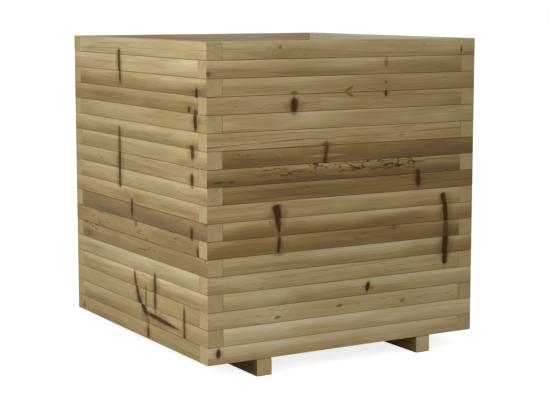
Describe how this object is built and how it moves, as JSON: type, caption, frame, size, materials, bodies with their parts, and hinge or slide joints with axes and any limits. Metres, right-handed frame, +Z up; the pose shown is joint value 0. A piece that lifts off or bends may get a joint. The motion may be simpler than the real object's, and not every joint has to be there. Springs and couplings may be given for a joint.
{
  "type": "raised garden bed",
  "caption": "Square raised garden bed with walls of stacked pine battens, interlocked corners, a slatted floor and skids.",
  "frame": {"origin": "middle of the footprint on the ground, between the undersides of the skids", "axes": "+Z up; -Y is the front wall, whose foot shows the skids' end grain; the skids run along Y; +X to the right seen from the front"},
  "size_m": [0.8, 0.8, 0.8265],
  "materials": {
    "wall_timber": "planed pressure-treated pine, unpainted, olive tan with dark knots",
    "skid_timber": "planed pressure-treated pine, unpainted, greenish",
    "floor_timber": "planed pressure-treated pine boards, unpainted",
    "screws": "zinc-plated, dull"
  },
  "bodies": {
    "root": {"butt_end_screws": "screws", "corner_screws": "screws", "course_01_front_back_battens": "wall_timber", "course_01_left_right_battens": "wall_timber", "course_02_front_back_battens": "wall_timber", "course_02_left_right_battens": "wall_timber", "course_03_front_back_battens": "wall_timber", "course_03_left_right_battens": "wall_timber", "course_04_front_back_battens": "wall_timber", "course_04_left_right_battens": "wall_timber", "course_05_front_back_battens": "wall_timber", "course_05_left_right_battens": "wall_timber", "course_06_front_back_battens": "wall_timber", "course_06_left_right_battens": "wall_timber", "course_07_front_back_battens": "wall_timber", "course_07_left_right_battens": "wall_timber", "course_08_front_back_battens": "wall_timber", "course_08_left_right_battens": "wall_timber", "course_09_front_back_battens": "wall_timber", "course_09_left_right_battens": "wall_timber", "course_10_front_back_battens": "wall_timber", "course_10_left_right_battens": "wall_timber", "course_11_front_back_battens": "wall_timber", "course_11_left_right_battens": "wall_timber", "course_12_front_back_battens": "wall_timber", "course_12_left_right_battens": "wall_timber", "course_13_front_back_battens": "wall_timber", "course_13_left_right_battens": "wall_timber", "course_14_front_back_battens": "wall_timber", "course_14_left_right_battens": "wall_timber", "course_15_front_back_battens": "wall_timber", "course_15_left_right_battens": "wall_timber", "course_16_front_back_battens": "wall_timber", "course_16_left_right_battens": "wall_timber", "course_17_front_back_battens": "wall_timber", "course_17_left_right_battens": "wall_timber", "course_18_front_back_battens": "wall_timber", "course_18_left_right_battens": "wall_timber", "floor_board_1": "floor_timber", "floor_board_2": "floor_timber", "floor_board_3": "floor_timber", "floor_board_4": "floor_timber", "floor_board_5": "floor_timber", "floor_board_6": "floor_timber", "floor_board_7": "floor_timber", "floor_screws": "screws", "left_skid": "skid_timber", "right_skid": "skid_timber", "skid_screws": "screws"}
  },
  "joints": []
}
